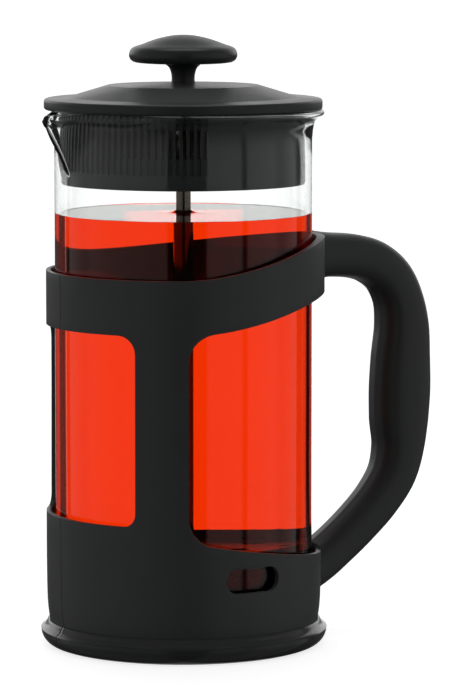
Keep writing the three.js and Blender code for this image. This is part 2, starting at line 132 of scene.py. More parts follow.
# low dark cards on both sides of the screen's middle, seen only in reflections off an outer face
CARDS = [(-180, 1), (-172, 1), (-168, 0.05), (-131, 0.05), (-129, 1),
         (129, 1), (131, 0.05), (168, 0.05), (172, 1), (180, 1)]
THROUGH_GLASS = [(-180, 1), (-129, 1), (-127, 0.02), (-119, 0.02), (-117, 1),
                 (125, 1), (127, 0.05), (136, 0.05), (138, 1), (180, 1)]
CEILING, FLOOR_GLOW = 0.12, 0.3
# heights of a direction, as the Z of a unit vector: where each part of the room starts and is full
CEILING_FROM, CEILING_FULL = 0.3, 0.65
CARDS_FROM, CARDS_FULL = 0.03, -0.03
FLOOR_FROM, FLOOR_FULL = -0.2, -0.5
SLITS_FROM, SLITS_FULL = -0.22, -0.17

world = bpy.data.worlds.new("studio")
world.use_nodes = True
scene.world = world
tree = world.node_tree
direction = add(tree, "TexCoord").outputs["Generated"]
sideways = add(tree, "VectorMath", {0: direction, 1: to_right}, operation="DOT_PRODUCT").outputs["Value"]
towards = add(tree, "VectorMath", {0: direction, 1: -to_back}, operation="DOT_PRODUCT").outputs["Value"]
turn = add(tree, "Math", {0: sideways, 1: towards}, operation="ARCTAN2").outputs[0]
share = add(tree, "MapRange", {"Value": turn, "From Min": -math.pi, "From Max": math.pi}).outputs[0]


def light_ramp(stops):
    """A colour ramp over the angle round the press. Each stop is made at its place, in order."""
    ramp = add(tree, "ValToRGB", {"Fac": share})
    made = ramp.color_ramp.elements
    made.remove(made[1])
    for angle, brightness in stops:
        stop = made[0] if angle == stops[0][0] else made.new((angle + 180) / 360)
        stop.color = (brightness, brightness, brightness, 1)
    return ramp.outputs[0]


height = add(tree, "SeparateXYZ", {0: direction}).outputs["Z"]
overhead = add(tree, "MapRange", {"Value": height, "From Min": CEILING_FROM, "From Max": CEILING_FULL},
               interpolation_type="SMOOTHSTEP")
path = add(tree, "LightPath").outputs
outside_only = add(tree, "Math", {0: path["Transmission Depth"], 1: 0.5}, operation="LESS_THAN").outputs[0]
low = add(tree, "MapRange", {"Value": height, "From Min": CARDS_FROM, "From Max": CARDS_FULL,
                             "To Max": outside_only}).outputs[0]
carded = add(tree, "Mix", {0: low, 6: light_ramp(ROOM), 7: light_ramp(CARDS)}, data_type="RGBA",
             blend_type="MULTIPLY")
walls = add(tree, "Mix", {0: overhead.outputs[0], 6: carded.outputs[2], 7: [CEILING] * 3 + [1]},
            data_type="RGBA")
below = add(tree, "MapRange", {"Value": height, "From Min": FLOOR_FROM, "From Max": FLOOR_FULL,
                               "To Min": 1, "To Max": FLOOR_GLOW})
room = add(tree, "Mix", {0: 1.0, 6: walls.outputs[2], 7: below.outputs[0]}, data_type="RGBA",
           blend_type="MULTIPLY")
bounces = add(tree, "Math", {0: path["Diffuse Depth"], 1: path["Glossy Depth"]}).outputs[0]
bounced = add(tree, "Math", {0: bounces, 1: 0.5}, operation="GREATER_THAN").outputs[0]
level = add(tree, "MapRange", {"Value": height, "From Min": SLITS_FROM, "From Max": SLITS_FULL}).outputs[0]
slitted = add(tree, "Mix", {0: level, 6: (1, 1, 1, 1), 7: light_ramp(THROUGH_GLASS)}, data_type="RGBA")
lit = add(tree, "Mix", {0: bounced, 6: slitted.outputs[2], 7: room.outputs[2]}, data_type="RGBA")
seen = add(tree, "Mix", {0: path["Is Camera Ray"], 6: lit.outputs[2], 7: (1, 1, 1, 1)}, data_type="RGBA")
tree.links.new(seen.outputs[2], tree.nodes["Background"].inputs["Color"])
tree.nodes["Background"].inputs["Strength"].default_value = SCREEN
print("the room has", len(ROOM), "stops of light")

# %% [markdown]
# The floor is a pale sheet. It gives off a little light of its own, as paper does when it is lit from below
# on a light table, so that only the faintest shadow gathers round the foot. Only the camera sees it: glass,
# reflections and bounced light see the room instead, or a black foot standing on it would turn grey.

# %% Floor and top light
FLOOR_R = 6
SOFTBOX_WIDTH, SOFTBOX_DEPTH = 0.9, 0.6
SOFTBOX_BACK, SOFTBOX_UP, SOFTBOX_AIM = 0.35, 1.5, 0.15

floor_finish = bpy.data.materials.new("light_table")
floor_finish.use_nodes = True
tree = floor_finish.node_tree
place = add(tree, "TexCoord").outputs["Object"]
paper = add(tree, "TexNoise", {"Vector": place, "Scale": 1 / (2.5 * MM), "Detail": 3.0})
tint = add(tree, "Mix", {0: paper.outputs[0], 6: linear("F4F4F4"), 7: linear("F8F8F8")}, data_type="RGBA")
shader = tree.nodes["Principled BSDF"]
tree.links.new(tint.outputs[2], shader.inputs["Base Color"])
shader.inputs["Roughness"].default_value = 0.9
shader.inputs["Emission Color"].default_value = (1, 1, 1, 1)
shader.inputs["Emission Strength"].default_value = 0.78

bm = bmesh.new()
bmesh.ops.create_circle(bm, cap_ends=True, segments=96, radius=FLOOR_R)
floor = bpy.data.objects.new("floor", bpy.data.meshes.new("floor"))
bm.to_mesh(floor.data)
bm.free()
floor.data.materials.append(floor_finish)
floor.visible_glossy = False
floor.visible_diffuse = False
floor.visible_transmission = False
scene.collection.objects.link(floor)

top_light = bpy.data.objects.new("top_softbox", bpy.data.lights.new("top_softbox", "AREA"))
top_light.data.shape = "RECTANGLE"
top_light.data.size = SOFTBOX_WIDTH
top_light.data.size_y = SOFTBOX_DEPTH
top_light.data.energy = 2.5
top_light.location = to_back * SOFTBOX_BACK + up * SOFTBOX_UP
top_light.rotation_euler = (up * SOFTBOX_AIM - top_light.location).to_track_quat("-Z", "Y").to_euler()
scene.collection.objects.link(top_light)
print("floor and one top light")

# %% [markdown]
# ## Plastic finishes
#
# The holder, handle, lid and knob are moulded polypropylene, coloured black right through. The mould is
# spark eroded, which leaves a fine satin grain: small pits that scatter a reflection into a soft sheen. The
# base is moulded in a polished tool, so it shines. One function makes all of these, from a colour, a
# roughness and the size of the grain. The true grain is about 0.1 mm, too fine to see at arm's length, so it
# is drawn four or more times as coarse.

# %% Moulded plastic
RUBBED = 0.08  # how far handling has moved the roughness up and down


def moulded_plastic(name, dark, light, gloss, grain, relief):
    """Black plastic from a mould: two hex colours, the roughness, grain width and relief in mm."""
    material = bpy.data.materials.new(name)
    material.use_nodes = True
    tree = material.node_tree
    place = add(tree, "TexCoord").outputs["Object"]
    pits = add(tree, "TexNoise",
               {"Vector": place, "Scale": 1 / (grain * MM), "Detail": 2.0, "Roughness": 0.6})
    cloud = add(tree, "TexNoise", {"Vector": place, "Scale": 1 / (26 * MM), "Detail": 3.0})
    colour = add(tree, "Mix", {0: cloud.outputs[0], 6: linear(dark), 7: linear(light)}, data_type="RGBA")
    uneven = add(tree, "Math", {0: pits.outputs[0], 1: cloud.outputs[0]}, operation="MULTIPLY")
    rough = add(tree, "MapRange", {"Value": uneven.outputs[0], "From Min": 0.1, "From Max": 0.45,
                                   "To Min": gloss - RUBBED, "To Max": gloss + RUBBED})
    bump = add(tree, "Bump", {"Height": pits.outputs[0], "Distance": relief * MM, "Strength": 1.0})
    shader = tree.nodes["Principled BSDF"]
    tree.links.new(colour.outputs[2], shader.inputs["Base Color"])
    tree.links.new(rough.outputs[0], shader.inputs["Roughness"])
    tree.links.new(bump.outputs[0], shader.inputs["Normal"])
    shader.inputs["IOR"].default_value = 1.49
    return material


satin_holder = moulded_plastic("satin_polypropylene", "3C3D3D", "424444",
                               gloss=0.46, grain=0.42, relief=0.012)
grained_lid = moulded_plastic("grained_polypropylene", "282A2A", "2E3030",
                              gloss=0.4, grain=0.5, relief=0.05)
gloss_base = moulded_plastic("polished_polypropylene", "303131", "373838",
                             gloss=0.2, grain=1.6, relief=0.004)
strainer_plastic = moulded_plastic("strainer_polypropylene", "525456", "5C5E60",
                                   gloss=0.5, grain=0.6, relief=0.004)
print("four plastics")

# %% [markdown]
# ## Glass and the drink
#
# The beaker is blown borosilicate, as laboratory glass is: clear and thin-walled, with a very slight
# waviness down its height from drawing the tube. The drink is a bright red tea. Its colour sits where light
# crosses its surface, so it is as deep at the thin edges as in the middle, and a little more is lost with
# depth. Glass and drink overlap by a hair, so no film of air shows between them.

# %% Borosilicate glass
borosilicate = bpy.data.materials.new("borosilicate_glass")
borosilicate.use_nodes = True
tree = borosilicate.node_tree
place = add(tree, "TexCoord").outputs["Object"]
tube = add(tree, "Mapping", {"Vector": place, "Scale": (1, 1, 0.08)})
draw_marks = add(tree, "TexNoise", {"Vector": tube.outputs[0], "Scale": 1 / (14 * MM), "Detail": 1.0})
wavy = add(tree, "Bump", {"Height": draw_marks.outputs[0], "Distance": 0.012 * MM, "Strength": 1.0})
shader = tree.nodes["Principled BSDF"]
tree.links.new(wavy.outputs[0], shader.inputs["Normal"])
shader.inputs["Base Color"].default_value = linear("FBFDFC")
shader.inputs["Roughness"].default_value = 0
shader.inputs["IOR"].default_value = 1.473
shader.inputs["Transmission Weight"].default_value = 1
print(borosilicate.name)

# %% Red tea
red_tea = bpy.data.materials.new("red_tea")
red_tea.use_nodes = True
tree = red_tea.node_tree
place = add(tree, "TexCoord").outputs["Object"]
swirl = add(tree, "TexNoise", {"Vector": place, "Scale": 1 / (40 * MM), "Detail": 2.0})
depth = add(tree, "Mix", {0: swirl.outputs[0], 6: linear("F43802"), 7: linear("F03300")}, data_type="RGBA")
shader = tree.nodes["Principled BSDF"]
tree.links.new(depth.outputs[2], shader.inputs["Base Color"])
shader.inputs["Roughness"].default_value = 0
shader.inputs["IOR"].default_value = 1.333
shader.inputs["Specular Tint"].default_value = linear("FF5A10")
shader.inputs["Transmission Weight"].default_value = 1
absorption = add(tree, "VolumeAbsorption", {"Color": linear("FFB060"), "Density": 4.0})
tree.links.new(absorption.outputs[0], tree.nodes["Material Output"].inputs["Volume"])
print(red_tea.name)

# %% [markdown]
# ## Metals
#
# The rod is ground stainless steel, with fine rings round it from grinding. The filter's plates are
# pressed from rolled sheet, and its screen is woven from fine wire. The screws are zinc plated and the
# knob's threaded insert is turned brass. A metal's colour is its reflection, so each gets the tint of its
# own metal, and the marks of its making change its roughness and its relief. The filter's steel is given
# dark tints, so that it reflects little.

# %% Metal finishes
def worked_metal(name, dark, light, gloss, mark, stretch, relief):
    """A bare metal: hex tints, roughness, width of the tool marks in mm, how they stretch, relief in mm."""
    material = bpy.data.materials.new(name)
    material.use_nodes = True
    tree = material.node_tree
    place = add(tree, "TexCoord").outputs["Object"]
    along = add(tree, "Mapping", {"Vector": place, "Scale": stretch})
    marks = add(tree, "TexNoise", {"Vector": along.outputs[0], "Scale": 1 / (mark * MM), "Detail": 2.0})
    stain = add(tree, "TexNoise", {"Vector": place, "Scale": 1 / (9 * MM), "Detail": 3.0})
    colour = add(tree, "Mix", {0: stain.outputs[0], 6: linear(dark), 7: linear(light)}, data_type="RGBA")
    rough = add(tree, "MapRange", {"Value": marks.outputs[0], "From Min": 0.3, "From Max": 0.7,
                                   "To Min": gloss * 0.7, "To Max": gloss * 1.3})
    bump = add(tree, "Bump", {"Height": marks.outputs[0], "Distance": relief * MM, "Strength": 1.0})
    shader = tree.nodes["Principled BSDF"]
    tree.links.new(colour.outputs[2], shader.inputs["Base Color"])
    tree.links.new(rough.outputs[0], shader.inputs["Roughness"])
    tree.links.new(bump.outputs[0], shader.inputs["Normal"])
    shader.inputs["Metallic"].default_value = 1
    return material


ground_steel = worked_metal("ground_stainless", "6F685E", "8A8378", gloss=0.12,
                            mark=0.3, stretch=(0.1, 0.1, 1), relief=0.004)
# dark tints: the filter's plates, collar and spring are coloured dark, so they reflect little
rolled_steel = worked_metal("rolled_stainless", "3C3935", "56514B", gloss=0.36,
                            mark=0.5, stretch=(1, 0.06, 1), relief=0.004)
zinc_plate = worked_metal("zinc_plated_steel", "9BA0A4", "B2B5B5", gloss=0.34,
                          mark=0.4, stretch=(1, 1, 1), relief=0.01)
turned_brass = worked_metal("turned_brass", "A98443", "C29B55", gloss=0.28,
                            mark=0.25, stretch=(0.1, 0.1, 1), relief=0.006)
print("four metals")

# %% [markdown]
# The screen is a plain weave of steel wire. A brick or wave pattern could fake it, but two sets of sine waves
# at right angles, multiplied, give the true over and under of the wires as a relief. The real cloth has
# about six wires to a millimetre. It is drawn with one and a half, so that the weave can be seen at all.
# The low parts of the relief are also painted dark, as painted shade between the wires.

# %% Woven steel
WIRE_SPACING = 0.65  # mm

woven_steel = bpy.data.materials.new("woven_stainless")
woven_steel.use_nodes = True
tree = woven_steel.node_tree
place = add(tree, "SeparateXYZ", {0: add(tree, "TexCoord").outputs["Object"]})
waves = []
for axis in ("X", "Y"):
    phase = add(tree, "Math", {0: place.outputs[axis], 1: math.pi / (WIRE_SPACING * MM)},
                operation="MULTIPLY")
    waves.append(add(tree, "Math", {0: phase.outputs[0]}, operation="SINE").outputs[0])
weave = add(tree, "Math", {0: waves[0], 1: waves[1]}, operation="MULTIPLY")
wires = add(tree, "MapRange", {"Value": weave.outputs[0], "From Min": -1, "From Max": 1})
# the low parts of the weave are painted dark: painted shade where the wires dip under each other
colour = add(tree, "Mix", {0: wires.outputs[0], 6: linear("3E3B37"), 7: linear("A19C92")}, data_type="RGBA")
bump = add(tree, "Bump", {"Height": wires.outputs[0], "Distance": 0.12 * MM, "Strength": 1.0})
shader = tree.nodes["Principled BSDF"]
tree.links.new(colour.outputs[2], shader.inputs["Base Color"])
tree.links.new(bump.outputs[0], shader.inputs["Normal"])
shader.inputs["Metallic"].default_value = 1
shader.inputs["Roughness"].default_value = 0.38
print(woven_steel.name)

# %% [markdown]
# Wet leaves and grounds are the opposite of all this: dark, rough and uneven, with a wet glint.

# %% Wet grounds
wet_grounds = bpy.data.materials.new("wet_grounds")
wet_grounds.use_nodes = True
tree = wet_grounds.node_tree
place = add(tree, "TexCoord").outputs["Object"]
crumbs = add(tree, "TexVoronoi", {"Vector": place, "Scale": 1 / (1.1 * MM)})
colour = add(tree, "Mix", {0: crumbs.outputs["Distance"], 6: linear("1B0B07"), 7: linear("4A1E10")},
             data_type="RGBA")
bump = add(tree, "Bump", {"Height": crumbs.outputs["Distance"], "Distance": 0.4 * MM, "Strength": 1.0})
shader = tree.nodes["Principled BSDF"]
tree.links.new(colour.outputs[2], shader.inputs["Base Color"])
tree.links.new(bump.outputs[0], shader.inputs["Normal"])
shader.inputs["Roughness"].default_value = 0.55
print(wet_grounds.name)

# %% [markdown]
# ## Ways of making a mesh
#
# Nearly everything on a press is either turned about one axis or wrapped round it. `turned` spins an outline
# of radius and height. `rounded` gives an outline its fillets first, because a moulded edge is never sharp
# and the thin highlight along it is what makes it look solid. `wrapped` starts from a flat grid and bends it
# into place, column by column and row by row, which suits walls with windows in them. `piece` hands a mesh
# over: it names it, gives it its finish, puts it on its body and hides the imported nodes it stands for.

# %% Turned and wrapped shapes
def rounded(corners, steps=6):
    """An outline of (radius, height) from corners of (radius, height, fillet), in mm. It closes on itself.

    Known fault: slerp gives unit vectors, so every arc is drawn with a radius of 1 mm, about a centre that
    the fillet's own size has placed. A fillet under 1 mm stands proud of its corner by the difference.
    """
    outline = []
    for i, (r, z, fillet) in enumerate(corners):
        here = Vector((r, z))
        if not fillet:
            outline.append((r, z))
            continue
        before = (Vector(corners[i - 1][:2]) - here).normalized()
        after = (Vector(corners[(i + 1) % len(corners)][:2]) - here).normalized()
        half = before.angle(after) / 2
        centre = here + (before + after).normalized() * (fillet / math.sin(half))
        start = here + before * (fillet / math.tan(half)) - centre
        end = here + after * (fillet / math.tan(half)) - centre
        for k in range(steps + 1):
            outline.append(tuple(centre + start.slerp(end, k / steps)))
    return outline


def through(points, steps):
    """A smooth curve through points of any size: centripetal Catmull-Rom, with steps to each span."""
    points = [Vector(p) for p in points]
    padded = [2 * points[0] - points[1], *points, 2 * points[-1] - points[-2]]
    curve = []
    for p0, p1, p2, p3 in zip(padded, padded[1:], padded[2:], padded[3:]):
        t1 = (p1 - p0).length ** 0.5
        t2 = t1 + (p2 - p1).length ** 0.5
        t3 = t2 + (p3 - p2).length ** 0.5
        for k in range(steps):
            t = t1 + (t2 - t1) * k / steps
            a1 = p0.lerp(p1, t / t1)
            a2 = p1.lerp(p2, (t - t1) / (t2 - t1))
            a3 = p2.lerp(p3, (t - t2) / (t3 - t2))
            b1 = a1.lerp(a2, t / t2)
            b2 = a2.lerp(a3, (t - t1) / (t3 - t1))
            curve.append(b1.lerp(b2, (t - t1) / (t2 - t1)))
    return curve + [points[-1]]


def turned(outline, steps, closes=True):
    """A bmesh of an outline of (radius, height) in mm, spun about Z."""
    bm = bmesh.new()
    chain = [bm.verts.new((r * MM, 0, z * MM)) for r, z in outline]
    for a, b in zip(chain, chain[1:]):
        bm.edges.new((a, b))
    if closes:
        bm.edges.new((chain[-1], chain[0]))
    bmesh.ops.spin(bm, geom=bm.verts[:] + bm.edges[:], cent=(0, 0, 0), axis=(0, 0, 1), angle=2 * math.pi,
                   steps=steps, use_merge=True)
    bmesh.ops.remove_doubles(bm, verts=bm.verts, dist=0.001 * MM)
    bmesh.ops.recalc_face_normals(bm, faces=bm.faces)
    return bm


def wrapped(columns, rows, at, is_open=None):
    """A bmesh of a grid: the corner in column i, row j is put at at(i, j), in mm. Open cells are left out."""
    bm = bmesh.new()
    bmesh.ops.create_grid(bm, x_segments=columns, y_segments=rows, size=1)
    if is_open:
        gone = []
        for face in bm.faces:
            middle = face.calc_center_median()
            if is_open(int((middle.x + 1) / 2 * columns), int((middle.y + 1) / 2 * rows)):
                gone.append(face)
        bmesh.ops.delete(bm, geom=gone, context="FACES")
    for vert in bm.verts:
        i = round((vert.co.x + 1) / 2 * columns)
        j = round((vert.co.y + 1) / 2 * rows)
        vert.co = Vector(at(i, j)) * MM
    return bm


def polar(angle, radius, height):
    """A point in mm from an angle in degrees round the axis, a radius and a height."""
    return (radius * math.cos(math.radians(angle)), radius * math.sin(math.radians(angle)), height)


# %% Handing a piece over
def piece(name, bm, material, body, stands_for=(), sharp=40):
    """Makes the object, smooth except across edges sharper than sharp degrees, riding on its body."""
    mesh = bpy.data.meshes.new(name)
    bm.to_mesh(mesh)
    bm.free()
    mesh.materials.append(material)
    mesh.shade_smooth()
    mesh.set_sharp_from_angle(angle=math.radians(sharp))
    made = bpy.data.objects.new(name, mesh)
    scene.collection.objects.link(made)
    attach(made, body)
    if stands_for:
        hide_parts(*stands_for)
    print(name, "has", len(mesh.polygons), "faces and rides on", body)


def span(node):
    """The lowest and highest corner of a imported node, in mm."""
    low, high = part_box(node)
    return low / MM, high / MM


def smoothstep(value, low, high):
    share = min(1, max(0, (value - low) / (high - low)))
    return share * share * (3 - 2 * share)


print("the beaker stands from", [round(c, 1) for c in span("glass_beaker")[0]])

# %% [markdown]
# ## The beaker
#
# A lampworker heats the rim of a glass tube, rolls it out into a bead, and pulls one place out with a rod to
# make the spout. The beaker is turned here in the same order: first the plain wall with its bead, then
# `pulled` moves the points near the spout. The rim is drawn in on both sides of the spout, and its ridge
# runs straight from the wall to the tip. The columns crowd towards the spout, so that the ridge is crisp.

# %% Beaker
GLASS_R = 48.8
GLASS_WALL = 2
GLASS_FOOT = span("glass_beaker")[0].z
GLASS_FLOOR = 2.4
HEEL = 7
RIM_R, RIM_Z, BEAD = 52.1, 202.4, 1.33
FLARE_FROM = 190
TIP_R, TIP_Z, SPOUT_FOOT = 58.8, 199.9, 180.2
WALL_MIDDLE = 100  # a row of points halfway up the plain wall
CROWDING = 0.45  # how strongly the columns are drawn towards the spout
RIDGE_NARROW, RIDGE_SPREAD = 8, 15  # degrees: half the ridge's width at its foot, and its gain by the tip
DRAWN_IN = 0.75  # the share of the flare that is taken away on both sides of the spout
DRAWN_FROM, DRAWN_TO = 34, 62  # degrees from the spout
TIP_DROP = 1.2


def arc(r, z, radius, start, end, steps):
    """Points of an arc in an outline, angles in degrees."""
    turns = [math.radians(start + (end - start) * k / steps) for k in range(steps + 1)]
    return [(r + radius * math.cos(t), z + radius * math.sin(t)) for t in turns]


def flare(z):
    """How far the wall bells out at a height, up to the bead."""
    return (RIM_R + BEAD - GLASS_R) * min(1, max(0, (z - FLARE_FROM) / (RIM_Z - FLARE_FROM))) ** 3


def pulled(x, y, z):
    turn = math.atan2(y, x)
    crowded = turn + CROWDING * math.sin(turn)
    from_spout = math.degrees(math.pi - abs(crowded))
    rise = min(1, max(0, (z - SPOUT_FOOT) / (TIP_Z - SPOUT_FOOT)))
    near = (1 - min(1, from_spout / (RIDGE_NARROW + RIDGE_SPREAD * rise))) ** 2
    drawn_in = flare(z) * DRAWN_IN * (1 - smoothstep(from_spout, DRAWN_FROM, DRAWN_TO))
    wall = GLASS_R + flare(z) - drawn_in
    ridge = GLASS_R + (TIP_R - GLASS_R) * rise
    pull = max(0, ridge - wall) * near if z > SPOUT_FOOT else 0
    drop = TIP_DROP * rise ** 2 * near if z > SPOUT_FOOT else 0
    r = math.hypot(x, y) - drawn_in + pull
    return (r * math.cos(crowded), r * math.sin(crowded), z - drop)


inner_r = GLASS_R - GLASS_WALL
inner_heel = HEEL - GLASS_WALL
floor_z = GLASS_FOOT + GLASS_FLOOR
outside = through([(GLASS_R, SPOUT_FOOT), (GLASS_R, 187), (48.9, 193), (49.9, 198.6), (51.8, 200.6)], 4)[:-1]
inside = through([(50.6, 202.4), (48.6, 198.2), (47.3, 194), (inner_r, 188), (inner_r, SPOUT_FOOT)], 4)[1:]
outer_heel_arc = arc(GLASS_R - HEEL, GLASS_FOOT + HEEL, HEEL, -90, 0, 10)
inner_heel_arc = arc(inner_r - inner_heel, floor_z + inner_heel, inner_heel, 0, -90, 8)
bead_arc = arc(RIM_R, RIM_Z, BEAD, -70, 165, 12)
outline = [(0, GLASS_FOOT), *outer_heel_arc, (GLASS_R, WALL_MIDDLE), (GLASS_R, SPOUT_FOOT - 1),
           *[tuple(p) for p in outside], *bead_arc, *[tuple(p) for p in inside],
           (inner_r, SPOUT_FOOT - 1), (inner_r, WALL_MIDDLE), *inner_heel_arc, (0, floor_z)]
bm = turned(outline, steps=200, closes=False)
for vert in bm.verts:
    vert.co = Vector(pulled(*(vert.co / MM))) * MM
piece("blown_beaker", bm, borosilicate, "beaker", ["glass_beaker"], sharp=80)

# %% [markdown]
# ## The drink
#
# The drink fills the beaker to a little above the holder's band. Where it meets glass or steel it creeps up,
# and that curved edge, the meniscus, draws the line round its top. The creep is small at the wall and larger
# at the rod. It fades away exponentially, and it is a little uneven, as on glass that isn't quite clean.

# %% Tea and grounds
TEA_TOP = 164.35
SOAK = 0.12  # how far the drink reaches into the glass, mm
ROD_R = span("plunger_rod")[1].x
WALL_CREEP, WALL_FADE = 0.22, 0.7  # mm up, and the distance in which it fades
ROD_CREEP, ROD_FADE = 1.6, 1.6
RIPPLE, RIPPLE_FADE = 0.03, 1.2


def creep(r):
    """How far the drink climbs at a radius, in mm, at the wall and at the rod."""
    at_wall = WALL_CREEP * math.exp((r - inner_r) / WALL_FADE)
    return at_wall + ROD_CREEP * math.exp(-max(0, r - ROD_R) / ROD_FADE)


tea_r = inner_r + SOAK
radii = [0, 1.6, 2.1, 2.6, 3.1, 3.8, 4.6, 5.6, 7, 10, 16, 24, 32, 38, 41, 43,
         44, 44.8, 45.4, 45.9, 46.3, 46.6, tea_r]
surface = [(r, TEA_TOP + creep(min(r, inner_r))) for r in reversed(radii)]
heel = arc(inner_r - inner_heel, floor_z + inner_heel, inner_heel + SOAK, -90, 0, 8)
sides = [(tea_r, 60), (tea_r, 110), (tea_r, TEA_TOP - 2)]
bm = turned([(0, floor_z - SOAK), *heel, *sides, *surface], steps=180, closes=False)
for vert in bm.verts:
    r = math.hypot(vert.co.x, vert.co.y) / MM
    if vert.co.z > TEA_TOP * MM and r > 40:
        turn = math.atan2(vert.co.y, vert.co.x)
        ripple = math.sin(9 * turn) + 0.7 * math.sin(17 * turn + 1.3) + 0.5 * math.sin(31 * turn + 0.4)
        vert.co.z += RIPPLE * MM * ripple * math.exp((r - inner_r) / RIPPLE_FADE)
piece("red_tea_fill", bm, red_tea, "beaker", sharp=80)

GROUNDS_TOP = span("cross_plate")[1].z - 2.2
grounds_foot = floor_z + 0.3
corners = [(0, grounds_foot, 0), (43, grounds_foot, 3), (46.2, GROUNDS_TOP, 0.6), (0, GROUNDS_TOP, 0)]
bm = turned(rounded(corners), 96)
long_edges = [edge for edge in bm.edges if edge.calc_length() > 6 * MM]
bmesh.ops.subdivide_edges(bm, edges=long_edges, cuts=6, use_grid_fill=True)
for vert in bm.verts:
    if vert.co.z > (GROUNDS_TOP - 1.5) * MM:
        vert.co.z += 0.9 * MM * noise.noise(vert.co / (5 * MM))
piece("steeped_grounds", bm, wet_grounds, "beaker")

# %% [markdown]
# ## The holder
#
# The holder is one moulding: a can with two windows, so that a band near the top and a cup at the bottom are
# joined by two struts. The band climbs towards the handle, and it is thicker there. A boolean could cut the
# windows from a can, but it leaves ragged faces along the cut that spoil an edge fillet. Here the wall is a
# grid whose rows follow the window edges, so the windows open by leaving cells out. Then the sheet is
# extruded inwards to its wall, and only then the edges are rounded.

# %% Holder outlines
BAND_LOW, BAND_HIGH = 122.5, 143
CLIMB_LOW, CLIMB_HIGH = 12, 12.4
SPOUT_STRUT, SIDE_STRUT = 138.2, 116  # degrees from the handle to each edge of a strut
CORNERS = {"spout": (5, 7), "side": (9, 10)}  # fillets at the foot and head of each window
CAN_R = 52.3
WALL_ROUND = [(51, 9.1), (51.4, 11), (51.8, 13), (52.05, 17.5), (52.2, 22), (CAN_R, 34), (CAN_R, 60),
              (52.1, 100)]
CLIMB_TO, CLIMB_SPAN = 120, 95  # degrees: where the climb ends, and how far round it takes
LIP_Z, LIP_LOW, LIP_RISE = 51.3, 33.5, 9.4
LIP_ANGLE, LIP_BEND = 98, 1.6
BAND_EXTRA = 1.5
EXTRA_FROM, EXTRA_TO = 22, 75  # degrees from the handle
EXTRA_FOOT, EXTRA_SPAN = 100, 26  # mm: where the extra thickness starts, and how far up it takes
SLOT_ANGLE, SLOT_Z, SLOT_HALF_HEIGHT, SLOT_HALF_WIDTH = 88, 30.9, 4.7, 11.4
SEAM_WIDTH = 0.35  # degrees, each side of the mould's seam
SEAM_DEPTH = 0.22


def from_handle(angle):
    return abs((angle + 180) % 360 - 180)


def climb(angle):
    return smoothstep((CLIMB_TO - from_handle(angle)) / CLIMB_SPAN, 0, 1)


def band_top(angle):
    return BAND_HIGH + CLIMB_HIGH * climb(angle)


def band_bottom(angle):
    return BAND_LOW + CLIMB_LOW * climb(angle)


def cup_lip(angle):
    """The cup's edge: level at the spout, and dipping towards the handle in the side window."""
    if from_handle(angle) >= SPOUT_STRUT:
        return LIP_Z
    at_side = LIP_LOW + LIP_RISE * (min(SIDE_STRUT, from_handle(angle)) / LIP_ANGLE) ** LIP_BEND
    return at_side + (LIP_Z - at_side) * smoothstep(from_handle(angle), SIDE_STRUT, SPOUT_STRUT)


def corner_rise(fillet, edge):
    """How far a window's edge has come in at a distance from its side."""
    return fillet - math.sqrt(fillet ** 2 - max(0, fillet - edge) ** 2)


def wall_radius(angle, z):
    """The holder's outer radius: the can's outline, and the band's extra thickness near the handle."""
    r = WALL_ROUND[0][0] if z < WALL_ROUND[0][1] else WALL_ROUND[-1][0]
    for (r0, z0), (r1, z1) in zip(WALL_ROUND, WALL_ROUND[1:]):
        if z0 <= z < z1:
            r = r0 + (r1 - r0) * (z - z0) / (z1 - z0)
    thicker = BAND_EXTRA * (1 - smoothstep(from_handle(angle), EXTRA_FROM, EXTRA_TO))
    return r + thicker * min(1, max(0, (z - EXTRA_FOOT) / EXTRA_SPAN))


PER_DEGREE = math.radians(1) * CAN_R


def window_columns(centre, half, fillets, pitch):
    """Angles across a window, crowded in its corners."""
    width = 2 * half * PER_DEGREE
    across = {0, width}
    for fillet in fillets:
        for turn in range(12, 91, 13):
            inset = fillet * (1 - math.cos(math.radians(turn)))
            across |= {inset, width - inset}
    first = max(fillets)
    steps = round((width - 2 * first) / (pitch * PER_DEGREE))
    across |= {first + (width - 2 * first) * i / steps for i in range(steps + 1)}
    return [centre - half + x / PER_DEGREE for x in sorted(across)]


side = window_columns(0, SIDE_STRUT, CORNERS["side"], 3)
spout = window_columns(180, 180 - SPOUT_STRUT, CORNERS["spout"], 3)
strut = [SIDE_STRUT + (SPOUT_STRUT - SIDE_STRUT) * i / 8 for i in range(1, 8)]
slot_half = SLOT_HALF_WIDTH / PER_DEGREE
slot_insets = [SLOT_HALF_HEIGHT * (1 - math.cos(math.radians(t))) / PER_DEGREE for t in range(0, 91, 15)]
slot_columns = [edge for centre in (-SLOT_ANGLE, SLOT_ANGLE) for inset in slot_insets
                for edge in (centre - slot_half + inset, centre + slot_half - inset)]
seam_columns = [180 - SEAM_WIDTH, 180, 180 + SEAM_WIDTH]
angles = sorted(side + spout + strut + [360 - a for a in strut] + slot_columns + seam_columns)
columns = [angles[0]]
for angle in angles:
    if angle - columns[-1] > 0.12:
        columns.append(angle)
columns.append(columns[0] + 360)
print(len(columns), "columns round the holder")

# %% [markdown]
# The rows of the grid are marks up the wall: the foot, the slot's two edges, the cup's lip, the band's
# lower edge and its top. Between two marks the rows are spread evenly. A mark runs on across the struts,
# where nothing is cut, so that the rows stay whole all the way round. The slot's marks draw apart again away
# from the slot for the same reason.

